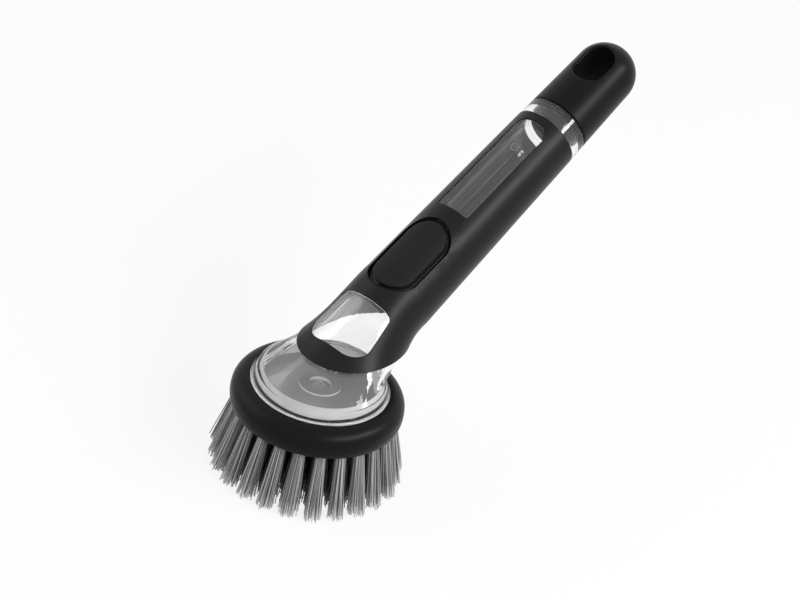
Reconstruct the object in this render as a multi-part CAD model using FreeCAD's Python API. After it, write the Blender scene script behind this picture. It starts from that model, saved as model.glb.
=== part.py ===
import FreeCAD, Part
import math
import os

# Soap-filled dish wand. A clear tank runs from the screw cap down the handle and flares
# into a bell. A black grip is moulded over it, and a round brush screws on below.
# Millimetres, +Z up along the brush axis, bristle tips on z = 0, handle towards +X.
# The origin is the middle of the whole wand's base rectangle.

Vector = FreeCAD.Vector

# Whole wand
OVERALL_LENGTH = 215.0  # level reach from the outer bristle tips to the cap's end
BRUSH_DIAMETER = 78.0  # across the bristle tips
HANDLE_TILT = 28.1  # handle axis above level, degrees
AXIS_RISE = 0.2  # collar's top up to where the handle axis crosses the brush axis

# Brush head
BRISTLE_HEIGHT = 29.0  # bristle tips up to the tuft plate
PLATE_THICKNESS = 4.4
RING_DIAMETER = 70.0
RING_WALL = 6.8  # screw socket out to the ring's widest
RING_LIP = 1.0  # the ring reaches this far below the tuft plate
RING_LIP_INSET = 0.6  # lower edge of the ring, in from its widest
RING_LIP_WIDTH = 1.2
RING_TOP_WIDTH = 0.8
RING_BULGE_RISE = 4.6  # widest part of the ring above its lower edge
OUTLET_RADIUS = 4.0

# Tufts, in four rings that fan out from the plate
TUFT_ROOT_RADIUS = 1.8
TUFT_TIP_RADIUS = 2.7
TUFT_MARGIN = 1.2  # outer tufts to the ring's lip
OUTLET_MARGIN = 4.6  # soap outlet to the inner tufts
TUFT_SPACING = 7.9  # from tuft to tuft along each ring, at the plate
TUFT_RING_NAMES = ("tufts_outer", "tufts_second", "tufts_third", "tufts_inner")
TUFT_HOLE_DEPTH = 3.4
TUFT_HOLE_GAP = 0.1
ANCHOR_THICKNESS = 0.4
ANCHOR_HEIGHT = 1.6
ANCHOR_BITE = 0.2  # each end of an anchor is pressed this far into the plate
ANCHOR_GAP = 0.05

# Tank collar and bell
COLLAR_BAND = 4.3  # clear band that shows above the brush ring
SCREW_STEP = 1.1  # screwed part of the collar, in from the band
BELL_STEP = 2.6  # bell where it stands on the band, in from the band
BAND_SLOPE = 2.2  # top of the band, in from its foot
COLLAR_WALL = 1.8
SHOULDER_GAP = 0.2
TANK_WALL = 2.4
WAIST_ALONG = 14.5  # section where the bell narrows: its middle along and below the handle axis
WAIST_DROP = 1.6
WAIST_SWELL = 3.2  # its radius over the bend's
WAIST_TURN = 49.2  # its plane turned from the handle's cross-section, degrees
BEND_ALONG = 28.2  # section between the waist and the straight handle
BEND_DROP = 1.7
BEND_SWELL = 1.3  # its radius over the straight handle's
BEND_TURN = 27.4  # its plane turned like the waist's, degrees
STRAIGHT_FROM = 38.4  # the straight handle starts here
STRAIGHT_LEAD = 8.0
HANDLE_ROOT_RADIUS = 16.8
HANDLE_TOP_RADIUS = 14.6

# Grip
GRIP_WALL = 1.3
GRIP_GAP = 0.1
RIM_ALONG = 18.0  # where the plane of the grip's lower rim crosses the handle axis
RIM_TURN = 60.0  # and its turn from the handle's cross-section, degrees
PANE_INSET = 0.3  # clear panes lie this far below the grip's surface
PANE_GAP = 0.1
TOP_BRIDGE = 3.9  # grip's top edge to the long window
WINDOW_BRIDGE = 7.1  # long window to the button's opening
BUTTON_BRIDGE = 5.9  # button's opening to the low window
LONG_WINDOW_WIDTH = 15.2
LONG_WINDOW_TOP_CORNER = 5.0
LONG_WINDOW_LOW_CORNER = 1.2
LOW_WINDOW_FROM = 6.8
LOW_WINDOW_TO = 31.3
LOW_WINDOW_TOP_WIDTH = 24.4
LOW_WINDOW_LOW_WIDTH = 29.2
LOW_WINDOW_TOP_CORNER = 3.0
LOW_WINDOW_LOW_CORNER = 8.0

# Button
BUTTON_OPENING_LENGTH = 40.0
BUTTON_OPENING_WIDTH = 22.0
BUTTON_GROOVE = 2.1
BUTTON_GAP = 0.4
BUTTON_PROUD = 0.1
BUTTON_EDGE = 0.6
MEMBRANE_THICKNESS = 0.7
FRAME_THICKNESS = 0.9
MEMBRANE_LEDGE = 0.8
FRAME_GAP = 0.1

# Neck and end cap
CAP_LENGTH = 45.8
CAP_STEP = 0.35  # cap's side, in from the grip's top edge
CAP_DRAFT = 0.75  # cap's round end, in from its foot
CAP_EDGE = 0.5
NECK_RING = 8.9  # clear ring that shows between the grip and the cap
NECK_STEP = 0.2
NECK_WALL = 2.9
CAP_SEAL_THICKNESS = 0.8
CAP_SEAL_WIDTH = 2.0
PLUG_WALL = 2.2
PLUG_CLEARANCE = 1.2  # plug's foot to the end of the neck's bore
CAP_BULKHEAD = 2.7  # cap's hollow to its slot
SLOT_LENGTH = 20.2
SLOT_WIDTH = 13.0
SLOT_END = 8.8  # slot to the cap's end
SLOT_EDGE = 0.8

# Screw threads
THREAD_PITCH = 2.4
THREAD_DEPTH = 0.9
THREAD_GAP = 0.3  # crest to the facing wall
THREAD_CREST = 0.7
THREAD_ROOT = 1.2
CAP_THREAD_TURNS = 0.75
HEAD_THREAD_TURNS = 0.6
THREAD_EMBED = 0.3
THREAD_INSET = 0.5

# Tank base and outlet valve
BASE_THICKNESS = 2.0
BASE_SKIRT_WALL = 2.6
BASE_FIT = 0.1
BASE_LEDGE = 4.2  # collar's foot up to the ledge that stops the base
BASE_SEAL_HEIGHT = 1.6
BASE_SEAL_DEPTH = 1.2
HEAD_SEAL_THICKNESS = 0.8
HEAD_SEAL_WIDTH = 1.4
HEAD_SEAL_FIT = 0.3
RETAINER_RADIUS = 8.5
RETAINER_RISE = 0.8
RETAINER_BORE = 4.6
VALVE_FLANGE_RADIUS = 7.2
VALVE_FLANGE = 0.7
VALVE_DOME_RADIUS = 4.0
VALVE_DOME_HEIGHT = 2.2
VALVE_SKIN = 0.7
VALVE_SLIT_LENGTH = 3.6
VALVE_SLIT = 0.3
VALVE_PORT_RADIUS = 3.6
VALVE_FIT = 0.1

# Room that the threads need
THREAD_ROOM = 2 * THREAD_INSET + THREAD_ROOT
PLUG_LENGTH = CAP_SEAL_THICKNESS + THREAD_ROOM + THREAD_PITCH * (CAP_THREAD_TURNS + 0.5)
SOCKET_DEPTH = HEAD_SEAL_THICKNESS + THREAD_ROOM + THREAD_PITCH * (HEAD_THREAD_TURNS + 0.5)

# Heights along the brush axis
PLATE_TOP = BRISTLE_HEIGHT + PLATE_THICKNESS
RING_TOP = PLATE_TOP + SOCKET_DEPTH
COLLAR_FOOT = PLATE_TOP + HEAD_SEAL_THICKNESS
COLLAR_TOP = RING_TOP + SHOULDER_GAP + COLLAR_BAND
CROSSING = COLLAR_TOP + AXIS_RISE
BASE_TOP = COLLAR_FOOT + BASE_LEDGE

# Radii of the collar, the bell and the neck
SOCKET_RADIUS = RING_DIAMETER / 2 - RING_WALL
HEAD_CREST_RADIUS = SOCKET_RADIUS - THREAD_GAP
SCREW_RADIUS = HEAD_CREST_RADIUS - THREAD_DEPTH
COLLAR_RADIUS = SCREW_RADIUS + SCREW_STEP
BELL_RADIUS = COLLAR_RADIUS - BELL_STEP
BASE_BORE = SCREW_RADIUS - COLLAR_WALL
BEND_RADIUS = HANDLE_ROOT_RADIUS - GRIP_WALL - GRIP_GAP + BEND_SWELL
WAIST_RADIUS = BEND_RADIUS + WAIST_SWELL
CAP_RADIUS = HANDLE_TOP_RADIUS - CAP_STEP
DOME_RADIUS = CAP_RADIUS - CAP_DRAFT
NECK_RADIUS = HANDLE_TOP_RADIUS - NECK_STEP
NECK_BORE = NECK_RADIUS - NECK_WALL
PLUG_RADIUS = NECK_BORE - THREAD_GAP - THREAD_DEPTH

# Places along the handle axis, from where it crosses the brush axis
TILT = math.radians(HANDLE_TILT)
TIP_RADIUS = BRUSH_DIAMETER / 2
CAP_DOME = (OVERALL_LENGTH - TIP_RADIUS - DOME_RADIUS) / math.cos(TILT)
CAP_END = CAP_DOME + DOME_RADIUS
CAP_FOOT = CAP_END - CAP_LENGTH
NECK_TOP = CAP_FOOT - CAP_SEAL_THICKNESS
GRIP_TOP = CAP_FOOT - NECK_RING
BUTTON_ALONG = LOW_WINDOW_TO + BUTTON_BRIDGE + BUTTON_OPENING_LENGTH / 2
LONG_WINDOW_FROM = BUTTON_ALONG + BUTTON_OPENING_LENGTH / 2 + WINDOW_BRIDGE
LONG_WINDOW_TO = GRIP_TOP - TOP_BRIDGE
FRAME_SHIFT = Vector(TIP_RADIUS - OVERALL_LENGTH / 2, 0, 0)

# Rings of tufts: radius at the plate, radius at the tips and count
RING_LOWER_RADIUS = RING_DIAMETER / 2 - RING_LIP_INSET
OUTER_ROOT_CIRCLE = RING_LOWER_RADIUS - RING_LIP_WIDTH - TUFT_MARGIN - TUFT_ROOT_RADIUS
INNER_ROOT_CIRCLE = OUTLET_RADIUS + OUTLET_MARGIN + TUFT_ROOT_RADIUS
TUFT_RING_STEP = (OUTER_ROOT_CIRCLE - INNER_ROOT_CIRCLE) / (len(TUFT_RING_NAMES) - 1)
TUFT_FAN = (TIP_RADIUS - TUFT_TIP_RADIUS) / OUTER_ROOT_CIRCLE
TUFT_RINGS = {}
for ring_index, ring_name in enumerate(TUFT_RING_NAMES):
    root_circle = OUTER_ROOT_CIRCLE - ring_index * TUFT_RING_STEP
    ring_count = round(math.tau * root_circle / TUFT_SPACING)
    TUFT_RINGS[ring_name] = (root_circle, root_circle * TUFT_FAN, ring_count)

SEAMS = (45, 135, 225, 315)  # where the four arcs of a handle section start, degrees
TOUCHING = 0.001  # a face nearer than this to a form is part of its surface


# Shapes that several pieces share

def on_handle(shape):
    """Take a shape from the handle's own frame (X along the axis, Z to the top) to the wand's."""
    turn = FreeCAD.Rotation(Vector(0, 1, 0), -HANDLE_TILT)
    shape.Placement = FreeCAD.Placement(Vector(0, 0, CROSSING), turn).multiply(shape.Placement)
    return shape


def along_handle(shape, start):
    """Turn a shape made along Z to lie along the handle's axis, from start."""
    turn = FreeCAD.Rotation(Vector(0, 1, 0), 90)
    shape.Placement = FreeCAD.Placement(Vector(start, 0, 0), turn).multiply(shape.Placement)
    return shape


def turned(outline):
    """Solid of revolution about Z from (radius, height) corners."""
    points = [Vector(radius, 0, height) for radius, height in outline]
    face = Part.Face(Part.makePolygon(points + points[:1]))
    return face.revolve(Vector(0, 0, 0), Vector(0, 0, 1), 360)


def rounded_prism(corners, low, high):
    """Upright prism over (x, y, radius) corners, each rounded by its own radius."""
    edges = []
    count = len(corners)
    ends = []
    for index, (x, y, radius) in enumerate(corners):
        corner = Vector(x, y, low)
        before = Vector(*corners[index - 1][:2], low) - corner
        after = Vector(*corners[(index + 1) % count][:2], low) - corner
        before.normalize()
        after.normalize()
        half = before.getAngle(after) / 2
        reach = radius / math.tan(half)
        middle = before + after
        middle.normalize()
        nearest = corner + middle * (radius / math.sin(half) - radius)
        ends.append((corner + before * reach, nearest, corner + after * reach))
    for index, (start, nearest, end) in enumerate(ends):
        edges.append(Part.Arc(start, nearest, end).toShape())
        following = ends[(index + 1) % count][0]
        if end.distanceToPoint(following) > 1e-6:
            edges.append(Part.LineSegment(end, following).toShape())
    return Part.Face(Part.Wire(edges)).extrude(Vector(0, 0, high - low))


def stadium(middle, length, width, low, high):
    """Upright prism with round ends, long side along X."""
    radius = width / 2
    left = middle - length / 2
    right = middle + length / 2
    places = [(left, -radius), (right, -radius), (right, radius), (left, radius)]
    return rounded_prism([(x, y, radius) for x, y in places], low, high)


def lies_on(face, form):
    """Whether a face is part of a form's surface."""
    inside = face.distToShape(Part.Vertex(face.CenterOfMass))[1][0][0]
    return any(side.distToShape(Part.Vertex(inside))[0] < TOUCHING for side in form.Faces)


def round_rim(piece, form, cutter, radius):
    """Round the edges where the sides that a cutter left in a piece meet its outer form."""
    rim = []
    for edge in piece.Edges:
        faces = piece.ancestorsOfType(edge, Part.Face)
        outside = any(lies_on(face, form) for face in faces)
        if outside and any(lies_on(face, cutter) for face in faces):
            rim.append(edge)
    return piece.makeFillet(radius, rim)


def handle_section(along, drop, radius, turn):
    """Circle round the handle, its plane turned from the cross-section towards level."""
    quarters = [Part.makeCircle(radius, Vector(), Vector(0, 0, 1), start, start + 90) for start in SEAMS]
    circle = Part.Wire(quarters)
    rotation = FreeCAD.Rotation(Vector(0, 1, 0), 90 - turn)
    circle.Placement = FreeCAD.Placement(Vector(along, 0, -drop), rotation)
    return circle


def straight_radius(along):
    """Grip's outer radius on the straight, tapered part of the handle."""
    share = (along - STRAIGHT_FROM) / (GRIP_TOP - STRAIGHT_FROM)
    return HANDLE_ROOT_RADIUS + share * (HANDLE_TOP_RADIUS - HANDLE_ROOT_RADIUS)


def straight_form(offset):
    """The handle's taper alone, from well below the button, offset from the tank's outer skin."""
    skin = offset - GRIP_WALL - GRIP_GAP
    start = BUTTON_ALONG - BUTTON_OPENING_LENGTH
    low = straight_radius(start) + skin
    high = straight_radius(GRIP_TOP) + skin
    return along_handle(Part.makeCone(low, high, GRIP_TOP - start), start)


def handle_form(offset, top=GRIP_TOP):
    """Bell and handle as one solid, offset from the tank's outer skin, in the handle's frame."""
    skin = offset - GRIP_WALL - GRIP_GAP
    lead = STRAIGHT_FROM + STRAIGHT_LEAD
    foot_drop = AXIS_RISE * math.cos(TILT)
    foot_along = -AXIS_RISE * math.sin(TILT)
    sections = [
        handle_section(foot_along, foot_drop, BELL_RADIUS + offset, 90 - HANDLE_TILT),
        handle_section(WAIST_ALONG, WAIST_DROP, WAIST_RADIUS + offset, WAIST_TURN),
        handle_section(BEND_ALONG, BEND_DROP, BEND_RADIUS + offset, BEND_TURN),
        handle_section(STRAIGHT_FROM, 0, straight_radius(STRAIGHT_FROM) + skin, 0),
        handle_section(lead, 0, straight_radius(lead) + skin, 0),
    ]
    bell = Part.makeLoft(sections, True)
    low = straight_radius(lead) + skin
    high = straight_radius(top) + skin
    tube = along_handle(Part.makeCone(low, high, top - lead), lead)
    return bell.fuse(tube)


def thread_ridge(wall, crest, turns, pitch):
    """Helical ridge round Z from z = 0, standing from a wall's radius to its crest."""
    side = 1 if crest > wall else -1
    root = wall - side * THREAD_EMBED
    corners = [
        Vector(root, 0, -THREAD_ROOT / 2),
        Vector(root, 0, THREAD_ROOT / 2),
        Vector(crest, 0, THREAD_CREST / 2),
        Vector(crest, 0, -THREAD_CREST / 2),
    ]
    profile = Part.makePolygon(corners + corners[:1])
    path = Part.makeHelix(pitch, pitch * turns, wall)
    return Part.Wire(path.Edges).makePipeShell([profile], True, True)


def button_prism(inset):
    """Tall round-ended prism under the button, inset from the grip's opening."""
    length = BUTTON_OPENING_LENGTH - 2 * inset
    width = BUTTON_OPENING_WIDTH - 2 * inset
    return stadium(BUTTON_ALONG, length, width, 0, 2 * HANDLE_ROOT_RADIUS)


def long_window(inset):
    """Tall prism through the long window in the handle."""
    half = LONG_WINDOW_WIDTH / 2 - inset
    low = LONG_WINDOW_FROM + inset
    high = LONG_WINDOW_TO - inset
    corners = [
        (low, -half, LONG_WINDOW_LOW_CORNER),
        (high, -half, LONG_WINDOW_TOP_CORNER),
        (high, half, LONG_WINDOW_TOP_CORNER),
        (low, half, LONG_WINDOW_LOW_CORNER),
    ]
    return rounded_prism(corners, 0, 2 * HANDLE_ROOT_RADIUS)


def low_window(inset):
    """Tall prism through the wide window above the brush."""
    low_half = LOW_WINDOW_LOW_WIDTH / 2 - inset
    top_half = LOW_WINDOW_TOP_WIDTH / 2 - inset
    low = LOW_WINDOW_FROM + inset
    high = LOW_WINDOW_TO - inset
    corners = [
        (low, -low_half, LOW_WINDOW_LOW_CORNER),
        (high, -top_half, LOW_WINDOW_TOP_CORNER),
        (high, top_half, LOW_WINDOW_TOP_CORNER),
        (low, low_half, LOW_WINDOW_LOW_CORNER),
    ]
    return rounded_prism(corners, 0, 2 * HANDLE_ROOT_RADIUS)


# Tank and grip

def tank():
    """Clear tank: bell, tapered tube, raised panes, screw collar and screw neck."""
    ring = along_handle(Part.makeCylinder(NECK_RADIUS, NECK_TOP - GRIP_TOP), GRIP_TOP)
    outside = handle_form(0).fuse(ring)
    pane_skin = handle_form(GRIP_GAP + GRIP_WALL - PANE_INSET)
    for window in (long_window(PANE_GAP), low_window(PANE_GAP)):
        outside = outside.fuse(pane_skin.common(window))
    inside = handle_form(-TANK_WALL, NECK_TOP)
    bore_depth = PLUG_LENGTH - CAP_SEAL_THICKNESS + PLUG_CLEARANCE
    mouth = Part.makeCylinder(NECK_BORE, bore_depth)
    inside = inside.fuse(along_handle(mouth, NECK_TOP - bore_depth))
    rebate_floor = handle_form(MEMBRANE_LEDGE - TANK_WALL)
    rebate = button_prism(0).cut(rebate_floor)
    port = button_prism(BUTTON_GROOVE - BUTTON_GAP)
    body = on_handle(outside).fuse(collar_outside())
    body = body.cut(on_handle(inside).fuse(collar_inside()))
    body = body.cut([on_handle(rebate), on_handle(port)])
    ridge = thread_ridge(NECK_BORE, NECK_BORE - THREAD_DEPTH, CAP_THREAD_TURNS, THREAD_PITCH)
    top_turn = NECK_TOP - THREAD_INSET - THREAD_ROOT / 2 - THREAD_PITCH * CAP_THREAD_TURNS
    neck_thread = on_handle(along_handle(ridge, top_turn))
    collar_thread = thread_ridge(SCREW_RADIUS, HEAD_CREST_RADIUS, HEAD_THREAD_TURNS, THREAD_PITCH)
    collar_thread.translate(Vector(0, 0, COLLAR_FOOT + THREAD_INSET + THREAD_ROOT / 2))
    return body.fuse([neck_thread, collar_thread])


def collar_outside():
    """Screw collar below the bell, with the wider band that shows above the brush ring."""
    outline = [
        (0, COLLAR_FOOT),
        (SCREW_RADIUS, COLLAR_FOOT),
        (SCREW_RADIUS, RING_TOP + SHOULDER_GAP),
        (COLLAR_RADIUS, RING_TOP + SHOULDER_GAP),
        (COLLAR_RADIUS - BAND_SLOPE, COLLAR_TOP),
        (0, COLLAR_TOP),
    ]
    return turned(outline)


def collar_inside():
    """Room in the collar for the base, with the ledge that stops it."""
    chamber = BELL_RADIUS - TANK_WALL
    outline = [
        (0, COLLAR_FOOT),
        (BASE_BORE, COLLAR_FOOT),
        (BASE_BORE, BASE_TOP),
        (chamber, BASE_TOP),
        (chamber, COLLAR_TOP),
        (0, COLLAR_TOP),
    ]
    return turned(outline)


def handle_sleeve():
    """Black grip moulded over the tank, with two windows and the button's opening."""
    shell = handle_form(GRIP_GAP + GRIP_WALL).cut(handle_form(GRIP_GAP))
    reach = 2 * COLLAR_RADIUS
    below = Part.makeBox(2 * reach, 2 * reach, 2 * reach, Vector(-reach, -reach, -2 * reach))
    rotation = FreeCAD.Rotation(Vector(0, 1, 0), 90 - RIM_TURN)
    below.Placement = FreeCAD.Placement(Vector(RIM_ALONG, 0, 0), rotation)
    openings = [below, long_window(0), low_window(0), button_prism(0)]
    return on_handle(shell.cut(openings))


# Button

def button_pad():
    """Pad that is pressed, curved like the grip, with a rounded top edge."""
    top = straight_form(GRIP_GAP + GRIP_WALL + BUTTON_PROUD)
    under = handle_form(MEMBRANE_LEDGE + MEMBRANE_THICKNESS - TANK_WALL)
    prism = button_prism(BUTTON_GROOVE)
    pad = prism.common(top).cut(under)
    return on_handle(round_rim(pad, top, prism, BUTTON_EDGE))


def button_membrane():
    """Soft sheet over the tank's port. It seals the tank and lifts the pad."""
    top = handle_form(MEMBRANE_LEDGE + MEMBRANE_THICKNESS - TANK_WALL)
    under = handle_form(MEMBRANE_LEDGE - TANK_WALL)
    return on_handle(button_prism(FRAME_GAP).common(top).cut(under))


def button_frame():
    """Frame that clamps the membrane's edge and guides the pad."""
    under = MEMBRANE_LEDGE + MEMBRANE_THICKNESS - TANK_WALL
    ring = button_prism(FRAME_GAP).cut(button_prism(BUTTON_GROOVE - BUTTON_GAP))
    return on_handle(ring.common(handle_form(under + FRAME_THICKNESS)).cut(handle_form(under)))


# End cap

def on_dome(angle):
    """Point of the cap's round end, at an angle in radians up from where the dome is widest."""
    middle = CAP_LENGTH - DOME_RADIUS
    return Vector(DOME_RADIUS * math.cos(angle), 0, middle + DOME_RADIUS * math.sin(angle))


def cap_shell():
    """Cap without its plug and slot: a round-ended bar that narrows to its end, from z = 0."""
    rise = CAP_LENGTH - DOME_RADIUS - CAP_EDGE
    reach = math.hypot(CAP_RADIUS, rise)
    slope = math.acos(DOME_RADIUS / reach) - math.atan2(rise, CAP_RADIUS)
    corners = [
        Vector(0, 0, CAP_LENGTH),
        Vector(0, 0, 0),
        Vector(CAP_RADIUS - CAP_EDGE, 0, 0),
        Vector(CAP_RADIUS, 0, CAP_EDGE),
        on_dome(slope),
    ]
    edges = [Part.LineSegment(start, end).toShape() for start, end in zip(corners, corners[1:])]
    dome = Part.Arc(corners[-1], on_dome((slope + math.pi / 2) / 2), corners[0])
    edges.append(dome.toShape())
    return Part.Face(Part.Wire(edges)).revolve(Vector(0, 0, 0), Vector(0, 0, 1), 360)


def end_cap():
    """Round-ended screw cap with a hollow plug and a slot to hang it by."""
    shell = along_handle(cap_shell(), CAP_FOOT)
    slot_middle = CAP_END - SLOT_END - SLOT_LENGTH / 2
    slot = stadium(slot_middle, SLOT_LENGTH, SLOT_WIDTH, -CAP_RADIUS, CAP_RADIUS)
    body = round_rim(shell.cut(slot), shell, slot, SLOT_EDGE)
    plug = Part.makeCylinder(PLUG_RADIUS, PLUG_LENGTH)
    hollow_length = PLUG_LENGTH + CAP_LENGTH - SLOT_END - SLOT_LENGTH - CAP_BULKHEAD
    hollow = Part.makeCylinder(PLUG_RADIUS - PLUG_WALL, hollow_length)
    ridge = thread_ridge(PLUG_RADIUS, PLUG_RADIUS + THREAD_DEPTH, CAP_THREAD_TURNS, THREAD_PITCH)
    ridge.translate(Vector(0, 0, THREAD_INSET + THREAD_ROOT / 2))
    plug_foot = CAP_FOOT - PLUG_LENGTH
    body = body.fuse(along_handle(plug, plug_foot)).cut(along_handle(hollow, plug_foot))
    return on_handle(body.fuse(along_handle(ridge, plug_foot)))


def cap_seal():
    """Flat washer between the cap's shoulder and the tank's neck."""
    washer = Part.makeCylinder(NECK_BORE + CAP_SEAL_WIDTH, CAP_SEAL_THICKNESS)
    washer = washer.cut(Part.makeCylinder(NECK_BORE, CAP_SEAL_THICKNESS))
    return on_handle(along_handle(washer, NECK_TOP))


# Tank base and outlet valve

def tank_base():
    """Clear lid that closes the tank's foot, with a groove for its seal and a valve seat."""
    edge = BASE_BORE - BASE_FIT
    floor = BASE_TOP - BASE_THICKNESS
    seal_low = COLLAR_FOOT + (BASE_LEDGE - BASE_SEAL_HEIGHT) / 2
    groove = edge - BASE_SEAL_DEPTH
    seat = RETAINER_RADIUS + VALVE_FIT
    flange_seat = VALVE_FLANGE_RADIUS + VALVE_FIT
    step = BASE_TOP - RETAINER_RISE
    outline = [
        (VALVE_PORT_RADIUS, floor),
        (edge - BASE_SKIRT_WALL, floor),
        (edge - BASE_SKIRT_WALL, COLLAR_FOOT),
        (edge, COLLAR_FOOT),
        (edge, seal_low),
        (groove, seal_low),
        (groove, seal_low + BASE_SEAL_HEIGHT),
        (edge, seal_low + BASE_SEAL_HEIGHT),
        (edge, BASE_TOP),
        (seat, BASE_TOP),
        (seat, step),
        (flange_seat, step),
        (flange_seat, step - VALVE_FLANGE),
        (VALVE_PORT_RADIUS, step - VALVE_FLANGE),
    ]
    return turned(outline)


def base_seal():
    """Square-section seal in the base's groove."""
    low = COLLAR_FOOT + (BASE_LEDGE - BASE_SEAL_HEIGHT) / 2
    inner = BASE_BORE - BASE_FIT - BASE_SEAL_DEPTH
    ring = Part.makeCylinder(BASE_BORE, BASE_SEAL_HEIGHT, Vector(0, 0, low))
    return ring.cut(Part.makeCylinder(inner, BASE_SEAL_HEIGHT, Vector(0, 0, low)))


def outlet_valve():
    """Soft slit valve: a flange and a domed skin with two crossed slits."""
    low = BASE_TOP - RETAINER_RISE - VALVE_FLANGE
    flange = Part.makeCylinder(VALVE_FLANGE_RADIUS, VALVE_FLANGE, Vector(0, 0, low))
    sphere = (VALVE_DOME_RADIUS ** 2 + VALVE_DOME_HEIGHT ** 2) / (2 * VALVE_DOME_HEIGHT)
    middle = Vector(0, 0, low + VALVE_FLANGE + VALVE_DOME_HEIGHT - sphere)
    keep = Part.makeCylinder(VALVE_DOME_RADIUS, VALVE_FLANGE + VALVE_DOME_HEIGHT, Vector(0, 0, low))
    dome = Part.makeSphere(sphere, middle).common(keep)
    valve = flange.fuse(dome).cut(Part.makeSphere(sphere - VALVE_SKIN, middle))
    length = VALVE_SLIT_LENGTH
    height = VALVE_FLANGE + VALVE_DOME_HEIGHT
    along = Part.makeBox(length, VALVE_SLIT, height, Vector(-length / 2, -VALVE_SLIT / 2, low))
    across = Part.makeBox(VALVE_SLIT, length, height, Vector(-VALVE_SLIT / 2, -length / 2, low))
    return valve.cut([along, across])


def valve_retainer():
    """Ring that holds the valve's flange down in its seat."""
    low = BASE_TOP - RETAINER_RISE
    ring = Part.makeCylinder(RETAINER_RADIUS, 2 * RETAINER_RISE, Vector(0, 0, low))
    return ring.cut(Part.makeCylinder(RETAINER_BORE, 2 * RETAINER_RISE, Vector(0, 0, low)))


def head_seal():
    """Flat washer between the collar's foot and the brush head's floor."""
    outer = SCREW_RADIUS - HEAD_SEAL_FIT
    foot = Vector(0, 0, PLATE_TOP)
    washer = Part.makeCylinder(outer, HEAD_SEAL_THICKNESS, foot)
    return washer.cut(Part.makeCylinder(outer - HEAD_SEAL_WIDTH, HEAD_SEAL_THICKNESS, foot))


# Brush head

def brush_head():
    """Black head: rounded ring, screw socket and drilled tuft plate in one moulding."""
    widest = RING_DIAMETER / 2
    low = BRISTLE_HEIGHT - RING_LIP
    bulge = low + RING_BULGE_RISE
    crown = SOCKET_RADIUS + RING_TOP_WIDTH
    lip = RING_LOWER_RADIUS
    quarter = math.sqrt(0.5)
    shoulder = Vector(crown + quarter * (widest - crown), 0, bulge + quarter * (RING_TOP - bulge))
    heel = Vector(lip + quarter * (widest - lip), 0, bulge - quarter * (bulge - low))
    corners = [
        Vector(lip, 0, low),
        Vector(lip - RING_LIP_WIDTH, 0, low),
        Vector(lip - RING_LIP_WIDTH, 0, BRISTLE_HEIGHT),
        Vector(OUTLET_RADIUS, 0, BRISTLE_HEIGHT),
        Vector(OUTLET_RADIUS, 0, PLATE_TOP),
        Vector(SOCKET_RADIUS, 0, PLATE_TOP),
        Vector(SOCKET_RADIUS, 0, RING_TOP),
        Vector(crown, 0, RING_TOP),
    ]
    edges = [Part.LineSegment(start, end).toShape() for start, end in zip(corners, corners[1:])]
    edges.append(Part.Arc(corners[-1], shoulder, Vector(widest, 0, bulge)).toShape())
    edges.append(Part.Arc(Vector(widest, 0, bulge), heel, corners[0]).toShape())
    head = Part.Face(Part.Wire(edges)).revolve(Vector(0, 0, 0), Vector(0, 0, 1), 360)
    ridge = thread_ridge(SOCKET_RADIUS, SOCKET_RADIUS - THREAD_DEPTH, HEAD_THREAD_TURNS, THREAD_PITCH)
    collar_turn = COLLAR_FOOT + THREAD_INSET + THREAD_ROOT / 2
    ridge.translate(Vector(0, 0, collar_turn + THREAD_PITCH / 2))
    foot = Vector(0, 0, BRISTLE_HEIGHT)
    hole = Part.makeCylinder(TUFT_ROOT_RADIUS + TUFT_HOLE_GAP, TUFT_HOLE_DEPTH, foot)
    rings = TUFT_RINGS.values()
    holes = [copy for root, tip, count in rings for copy in around(hole, root, count)]
    return head.cut(holes).fuse(ridge)


def around(shape, radius, count):
    """Copies of a shape spaced evenly round the brush axis."""
    copies = []
    for index in range(count):
        copy = shape.copy()
        copy.translate(Vector(radius, 0, 0))
        copy.rotate(Vector(0, 0, 0), Vector(0, 0, 1), 360 * index / count)
        copies.append(copy)
    return copies


def tuft(root_circle, tip_circle):
    """One tuft on the +X side: an upright root, notched for its anchor, and a leaning flare."""
    lean = tip_circle - root_circle
    tip = Part.Wire(Part.makeCircle(TUFT_TIP_RADIUS, Vector(lean, 0, 0)))
    neck = Part.Wire(Part.makeCircle(TUFT_ROOT_RADIUS, Vector(0, 0, BRISTLE_HEIGHT)))
    flare = Part.makeLoft([tip, neck], True, True)
    depth = TUFT_HOLE_DEPTH - TUFT_HOLE_GAP
    root = Part.makeCylinder(TUFT_ROOT_RADIUS, depth, Vector(0, 0, BRISTLE_HEIGHT))
    notch_width = ANCHOR_THICKNESS + 2 * ANCHOR_GAP
    notch_depth = ANCHOR_HEIGHT + ANCHOR_GAP
    corner = Vector(-notch_width / 2, -2 * TUFT_ROOT_RADIUS, BRISTLE_HEIGHT + depth - notch_depth)
    notch = Part.makeBox(notch_width, 4 * TUFT_ROOT_RADIUS, 2 * notch_depth, corner)
    return flare.fuse(root.cut(notch))


def tuft_ring(root_circle, tip_circle, count):
    """Ring of tufts, each a solid of its own."""
    return Part.makeCompound(around(tuft(root_circle, tip_circle), root_circle, count))


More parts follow.
